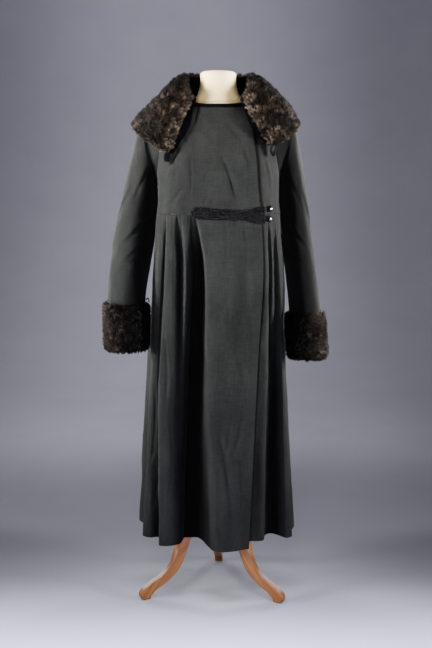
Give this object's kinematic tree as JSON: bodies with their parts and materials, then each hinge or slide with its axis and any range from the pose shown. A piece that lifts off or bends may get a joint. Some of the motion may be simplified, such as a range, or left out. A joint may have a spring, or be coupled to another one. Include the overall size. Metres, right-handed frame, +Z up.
{
  "type": "long wool coat with fur collar and cuffs on a dress form with a tripod stand",
  "caption": "Long gathered wool coat with a wide fur collar and fur cuffs, laid right over left, on a limbless dress form with a three-legged wooden stand.",
  "frame": {"origin": "on the floor, under the centre of the whole", "axes": "+Z up; the front of the coat faces -Y; +X is the viewer's right"},
  "size_m": [0.6326, 0.4349, 1.4935],
  "materials": {
    "wool": "charcoal wool, fine plain weave, matt",
    "fur": "dense dark brown fur with lighter tips",
    "velvet": "black velvet",
    "braid": "black crocheted cord",
    "silver": "polished silver-coloured metal",
    "jersey": "smooth cream jersey",
    "wood": "warm varnished beech"
  },
  "bodies": {
    "root": {"bodice_front_right": "wool", "bodice_front_left": "wool", "bodice_back": "wool", "skirt_front_right": "wool", "skirt_front_left": "wool", "skirt_back": "wool", "sleeve_right": "wool", "sleeve_left": "wool", "cuff_right": "fur", "cuff_left": "fur", "collar_fur": "fur", "collar_lining": "velvet", "neck_binding": "velvet", "braid_band": "braid", "braid_loop_upper": "braid", "braid_loop_lower": "braid", "button_upper": "silver", "button_lower": "silver", "collar_toggle": "braid", "collar_loop_left": "braid", "collar_loop_right": "braid", "cuff_loop": "braid", "form_torso": "jersey", "stand_column": "wood", "stand_hub": "wood", "stand_leg_1": "wood", "stand_leg_2": "wood", "stand_leg_3": "wood"}
  },
  "joints": []
}
